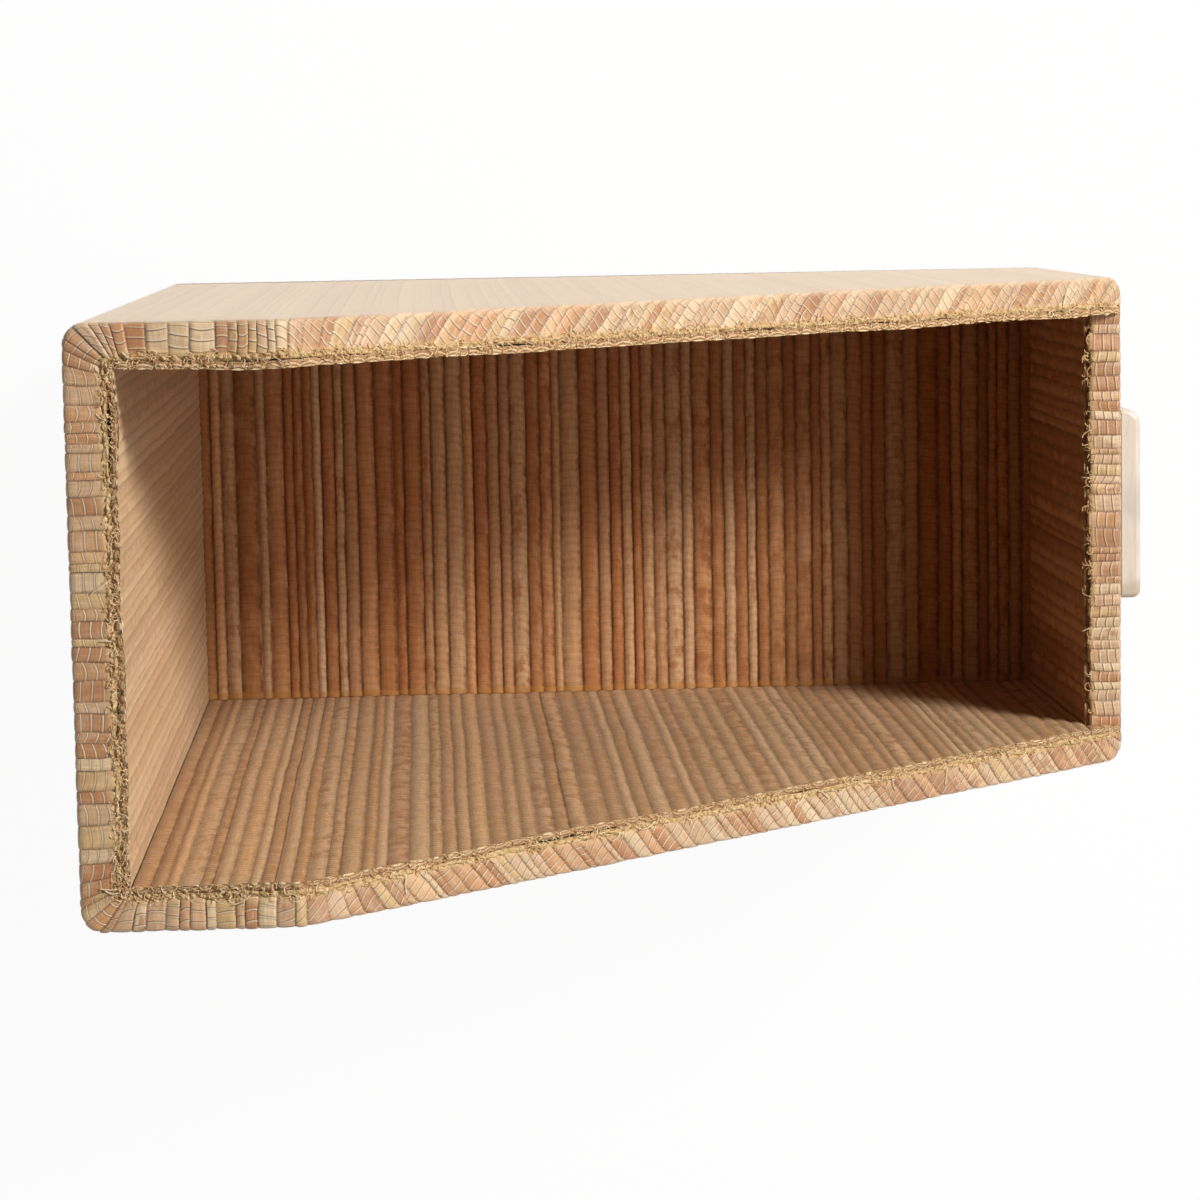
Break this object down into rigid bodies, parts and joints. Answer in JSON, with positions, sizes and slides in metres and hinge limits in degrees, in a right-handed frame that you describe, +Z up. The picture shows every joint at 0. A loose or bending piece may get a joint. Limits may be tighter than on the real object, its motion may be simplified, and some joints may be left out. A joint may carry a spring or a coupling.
{
  "type": "upright file box",
  "caption": "Open upright box for papers with a tall back, sloping sides and a low front with a bar pull, covered and lined in woven reed mat.",
  "frame": {"origin": "middle of the box's underside, where it stands, not counting the pull", "axes": "+Z up out of the open top, -Y out of the low front wall with the pull, +X across the box"},
  "size_m": [0.127, 0.268, 0.3],
  "materials": {
    "board": "raw fibre board",
    "steel": "plain wire",
    "outer_reed_mat": "woven dried reed, satin",
    "inner_reed_mat": "woven dried reed, satin",
    "felt": "pressed felt",
    "bone": "polished bone"
  },
  "bodies": {
    "root": {"back_lining": "inner_reed_mat", "back_panel": "board", "base_lining": "inner_reed_mat", "base_panel": "board", "end_brads": "steel", "front_cover": "outer_reed_mat", "front_lining": "inner_reed_mat", "front_panel": "board", "left_side_lining": "inner_reed_mat", "left_side_panel": "board", "pull": "bone", "pull_screws": "steel", "right_side_lining": "inner_reed_mat", "right_side_panel": "board", "side_brads": "steel", "underside_cover": "felt", "wrap_cover": "outer_reed_mat"}
  },
  "joints": []
}
